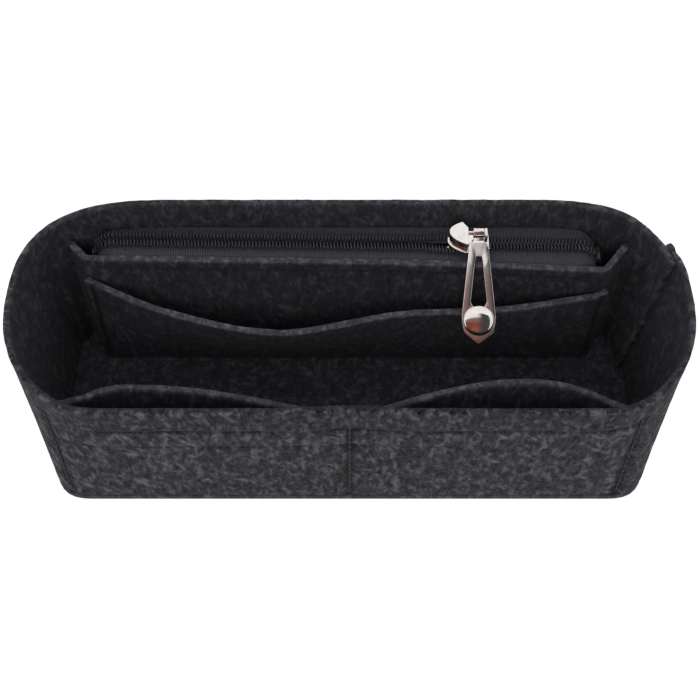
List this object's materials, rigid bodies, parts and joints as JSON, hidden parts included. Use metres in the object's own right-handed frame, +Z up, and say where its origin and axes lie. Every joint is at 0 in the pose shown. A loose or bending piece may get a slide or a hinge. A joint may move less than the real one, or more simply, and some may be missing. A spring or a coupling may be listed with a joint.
{
  "type": "purse organizer insert",
  "caption": "Open felt box with bowed ends that stands in a handbag: sewn inner pockets along the front, a slip pocket and a zip pouch with a metal slider and drop pull at the back.",
  "frame": {"origin": "middle of the foot, on the surface that the insert stands on", "axes": "+X along the length, to the right when the pockets are nearest; +Y towards the zip pouch; +Z up"},
  "size_m": [0.249, 0.094, 0.075],
  "materials": {
    "felt": "charcoal needle-punched felt with lighter fibres",
    "zip_tape": "black woven polyester tape",
    "zip_coil": "black nylon coil",
    "zip_stop": "black moulded plastic",
    "nickel": "bright nickel plate on die-cast zinc",
    "thread": "black polyester sewing thread"
  },
  "bodies": {
    "insert": {"base_panel": "felt", "wall_band": "felt", "front_pocket_panel": "felt", "pouch_front_panel": "felt", "slip_pocket_panel": "felt", "zip_tape_rear": "zip_tape", "zip_tape_front": "zip_tape", "zip_coil_rear": "zip_coil", "zip_coil_front": "zip_coil", "zip_top_stop_rear": "zip_stop", "zip_top_stop_front": "zip_stop", "zip_bottom_stop": "zip_stop", "seam_pocket_middle": "thread", "seam_pocket_left": "thread", "seam_pocket_right": "thread", "seam_wall_lap": "thread", "seam_pouch_left": "thread", "seam_pouch_right": "thread", "seam_slip_left": "thread", "seam_slip_right": "thread", "seam_zip_front": "thread", "seam_zip_rear": "thread"},
    "slider": {"zip_slider_body": "nickel", "zip_slider_crown": "nickel"},
    "pull": {"zip_pull": "nickel"}
  },
  "joints": [
    {"name": "slider_travel", "type": "slide", "parent": "insert", "child": "slider", "axis": [0.9998, -0.0187, 0], "range_m": [-0.13, 0.035], "deforming": ["zip_coil_rear", "zip_coil_front"]},
    {"name": "pull_swing", "type": "hinge", "parent": "slider", "child": "pull", "pos_m": [0.04902, 0.03336, 0.0705], "axis": [-0.9998, 0.0187, 0], "range_deg": [0, 150]}
  ]
}
